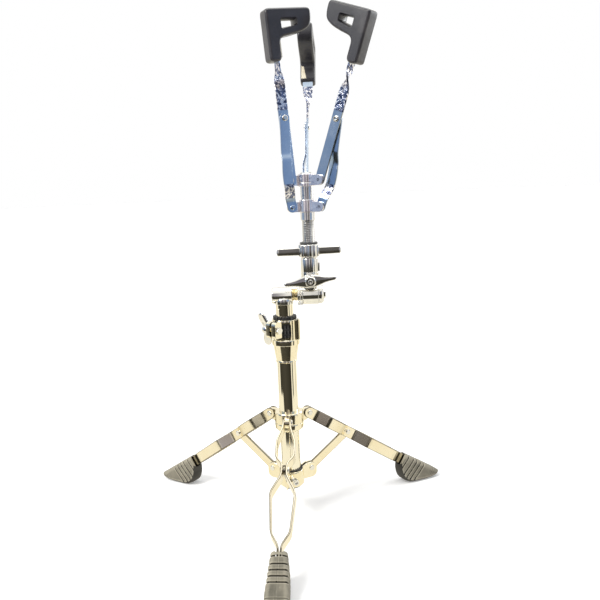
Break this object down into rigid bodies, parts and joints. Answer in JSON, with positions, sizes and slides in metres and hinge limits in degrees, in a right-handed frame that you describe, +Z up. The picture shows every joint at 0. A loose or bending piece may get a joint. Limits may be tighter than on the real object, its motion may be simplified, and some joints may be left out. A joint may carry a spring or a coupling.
{
  "type": "snare drum stand",
  "caption": "Folding snare drum stand: double-braced tripod, sliding height tube with split clamp, offset toothed tilter, and a basket of hinged arms with soft L-shaped tips.",
  "frame": {"origin": "tripod tube axis at floor level, the middle of the three feet", "axes": "+Z up along the tube; -Y towards the front leg; the basket's axis is offset towards +X"},
  "size_m": [0.4754, 0.4296, 0.7278],
  "materials": {
    "steel_warm": "polished chrome plate",
    "steel_bright": "polished chrome plate",
    "steel_basket": "polished chrome plate on flat strap",
    "brass_neck": "worn plated brass",
    "nylon_black": "moulded nylon",
    "rubber_foot": "matt moulded rubber",
    "rubber_tip": "satin moulded rubber"
  },
  "bodies": {
    "base": {"base_tube": "steel_warm", "tube_plug": "nylon_black", "lower_collar": "steel_warm", "collar_ring": "nylon_black", "collar_set_screw": "steel_bright", "collar_screws": "steel_bright", "clamp_casting": "steel_warm", "clamp_hinge_pin": "steel_bright", "clamp_bush": "nylon_black", "clamp_bolt": "steel_bright"},
    "clamp_nut": {"clamp_wing_nut": "steel_bright"},
    "column": {"height_tube": "steel_bright"},
    "hub": {"leg_hub": "steel_warm"},
    "hub_bolt": {"hub_wing_bolt": "steel_bright"},
    "head": {"t_head": "steel_bright", "tilter_neck": "brass_neck", "ratchet_fixed": "steel_bright", "tilter_end_nut": "steel_bright"},
    "tilter": {"ratchet_moving": "steel_bright", "tilter_body": "steel_bright", "tilter_end_flange": "steel_bright", "tilter_bolt": "steel_bright", "threaded_rod": "steel_bright", "rod_lock_ring": "steel_bright", "upper_bracket": "steel_basket", "upper_screws": "steel_bright"},
    "tilter_nut": {"tilter_wing_nut": "steel_bright"},
    "nut_washer": {"basket_washer": "nylon_black"},
    "basket_nut": {"basket_wing_nut": "steel_bright"},
    "lower_basket": {"lower_bracket": "steel_basket", "bracket_sleeve": "steel_bright", "lower_screws": "steel_bright"},
    "leg_front": {"leg_front_strap_a": "steel_warm", "leg_front_strap_b": "steel_warm", "leg_front_screws": "steel_bright", "foot_front": "rubber_foot"},
    "brace_front": {"brace_front": "steel_warm"},
    "leg_right": {"leg_right_strap_a": "steel_warm", "leg_right_strap_b": "steel_warm", "leg_right_screws": "steel_bright", "foot_right": "rubber_foot"},
    "brace_right": {"brace_right": "steel_warm"},
    "leg_left": {"leg_left_strap_a": "steel_warm", "leg_left_strap_b": "steel_warm", "leg_left_screws": "steel_bright", "foot_left": "rubber_foot"},
    "brace_left": {"brace_left": "steel_warm"},
    "arm_back": {"arm_back": "steel_basket", "rivet_back": "steel_bright", "tip_back": "rubber_tip"},
    "link_back": {"link_back": "steel_basket"},
    "arm_left": {"arm_left": "steel_basket", "rivet_left": "steel_bright", "tip_left": "rubber_tip"},
    "link_left": {"link_left": "steel_basket"},
    "arm_right": {"arm_right": "steel_basket", "rivet_right": "steel_bright", "tip_right": "rubber_tip"},
    "link_right": {"link_right": "steel_basket"}
  },
  "joints": [
    {"name": "tripod_fold", "type": "hinge", "parent": "base", "child": "brace_front", "pos_m": [-0.0024, -0.03191, 0.064], "axis": [-0.9972, 0.075, 0], "range_deg": [0, 45]},
    {"name": "leg_front_fold", "type": "hinge", "parent": "brace_front", "child": "leg_front", "pos_m": [-0.00732, -0.09734, 0.108], "axis": [0.9972, -0.075, 0], "range_deg": [0, 90]},
    {"name": "hub_fold", "type": "hinge", "parent": "leg_front", "child": "hub", "pos_m": [-0.0024, -0.03191, 0.152], "axis": [-0.9972, 0.075, 0], "range_deg": [0, 45]},
    {"name": "leg_right_fold", "type": "hinge", "parent": "hub", "child": "leg_right", "pos_m": [0.02883, 0.01388, 0.152], "axis": [-0.4337, 0.9011, 0], "range_deg": [0, 45]},
    {"name": "brace_right_fold", "type": "hinge", "parent": "base", "child": "brace_right", "pos_m": [0.02883, 0.01388, 0.064], "axis": [0.4337, -0.9011, 0], "range_deg": [0, 45]},
    {"name": "leg_left_fold", "type": "hinge", "parent": "hub", "child": "leg_left", "pos_m": [-0.02644, 0.01803, 0.152], "axis": [-0.5635, -0.8261, 0], "range_deg": [0, 45]},
    {"name": "brace_left_fold", "type": "hinge", "parent": "base", "child": "brace_left", "pos_m": [-0.02644, 0.01803, 0.064], "axis": [0.5635, 0.8261, 0], "range_deg": [0, 45]},
    {"name": "hub_bolt_turn", "type": "hinge", "parent": "hub", "child": "hub_bolt", "pos_m": [0.0021, 0.02792, 0.147], "axis": [0.075, 0.9972, 0], "continuous": true},
    {"name": "clamp_nut_turn", "type": "hinge", "parent": "base", "child": "clamp_nut", "pos_m": [-0.02359, -0.01186, 0.287], "axis": [-0.7431, 0.6691, 0], "range_deg": [0, 34]},
    {"name": "height_slide", "type": "slide", "parent": "base", "child": "column", "axis": [0, 0, 1], "range_m": [-0.012, 0.13]},
    {"name": "upper_turn", "type": "hinge", "parent": "column", "child": "head", "pos_m": [0, 0, 0.3], "axis": [0, 0, 1], "continuous": true},
    {"name": "tilter_tilt", "type": "hinge", "parent": "head", "child": "tilter", "pos_m": [0.039, 0, 0.3345], "axis": [1, 0, 0], "range_deg": [-60, 60]},
    {"name": "tilter_nut_turn", "type": "hinge", "parent": "tilter", "child": "tilter_nut", "pos_m": [0.039, -0.02, 0.356], "axis": [0, -1, 0], "continuous": true},
    {"name": "basket_nut_travel", "type": "slide", "parent": "tilter", "child": "nut_washer", "axis": [0, 0, 1], "range_m": [0, 0.0075]},
    {"name": "basket_nut_turn", "type": "hinge", "parent": "nut_washer", "child": "basket_nut", "pos_m": [0.039, 0, 0.398], "axis": [0, 0, 1], "range_deg": [0, 1080]},
    {"name": "arm_back_open", "type": "hinge", "parent": "tilter", "child": "arm_back", "pos_m": [0.0414, 0.02287, 0.4973], "axis": [-0.9945, 0.1045, 0], "range_deg": [-2.5, 36.5]},
    {"name": "arm_left_open", "type": "hinge", "parent": "tilter", "child": "arm_left", "pos_m": [0.01799, -0.00935, 0.4973], "axis": [0.4067, -0.9135, 0], "range_deg": [-3.84, 56]},
    {"name": "arm_right_open", "type": "hinge", "parent": "tilter", "child": "arm_right", "pos_m": [0.05761, -0.01352, 0.4973], "axis": [0.5878, 0.809, 0], "range_deg": [-2.74, 40]},
    {"name": "link_back_fold", "type": "hinge", "parent": "arm_back", "child": "link_back", "pos_m": [0.04511, 0.05814, 0.5751], "axis": [0.9945, -0.1045, 0], "range_deg": [-1.07, 15.56]},
    {"name": "link_left_fold", "type": "hinge", "parent": "arm_left", "child": "link_left", "pos_m": [0.01118, -0.01239, 0.58247], "axis": [-0.4067, 0.9135, 0], "range_deg": [-1.47, 21.39]},
    {"name": "link_right_fold", "type": "hinge", "parent": "arm_right", "child": "link_right", "pos_m": [0.0824, -0.03153, 0.57712], "axis": [-0.5878, -0.809, 0], "range_deg": [-1.14, 16.59]},
    {"name": "lower_basket_slide", "type": "slide", "parent": "tilter", "child": "lower_basket", "axis": [0, 0, -1], "range_m": [-0.00115, 0.01684]}
  ],
  "couplings": [
    {"joint": "leg_front_fold", "follows": "tripod_fold", "ratio": 2},
    {"joint": "hub_fold", "follows": "tripod_fold", "ratio": 1},
    {"joint": "leg_right_fold", "follows": "tripod_fold", "ratio": 1},
    {"joint": "brace_right_fold", "follows": "tripod_fold", "ratio": 1},
    {"joint": "leg_left_fold", "follows": "tripod_fold", "ratio": 1},
    {"joint": "brace_left_fold", "follows": "tripod_fold", "ratio": 1},
    {"joint": "basket_nut_turn", "follows": "basket_nut_travel", "rad_per_m": 2513.3},
    {"joint": "arm_left_open", "follows": "arm_back_open", "ratio": 1.5342},
    {"joint": "arm_right_open", "follows": "arm_back_open", "ratio": 1.0959},
    {"joint": "link_back_fold", "follows": "arm_back_open", "ratio": 0.42614},
    {"joint": "link_left_fold", "follows": "arm_back_open", "ratio": 0.5861},
    {"joint": "link_right_fold", "follows": "arm_back_open", "ratio": 0.45452},
    {"joint": "lower_basket_slide", "follows": "arm_back_open", "m_per_rad": 0.02643}
  ]
}
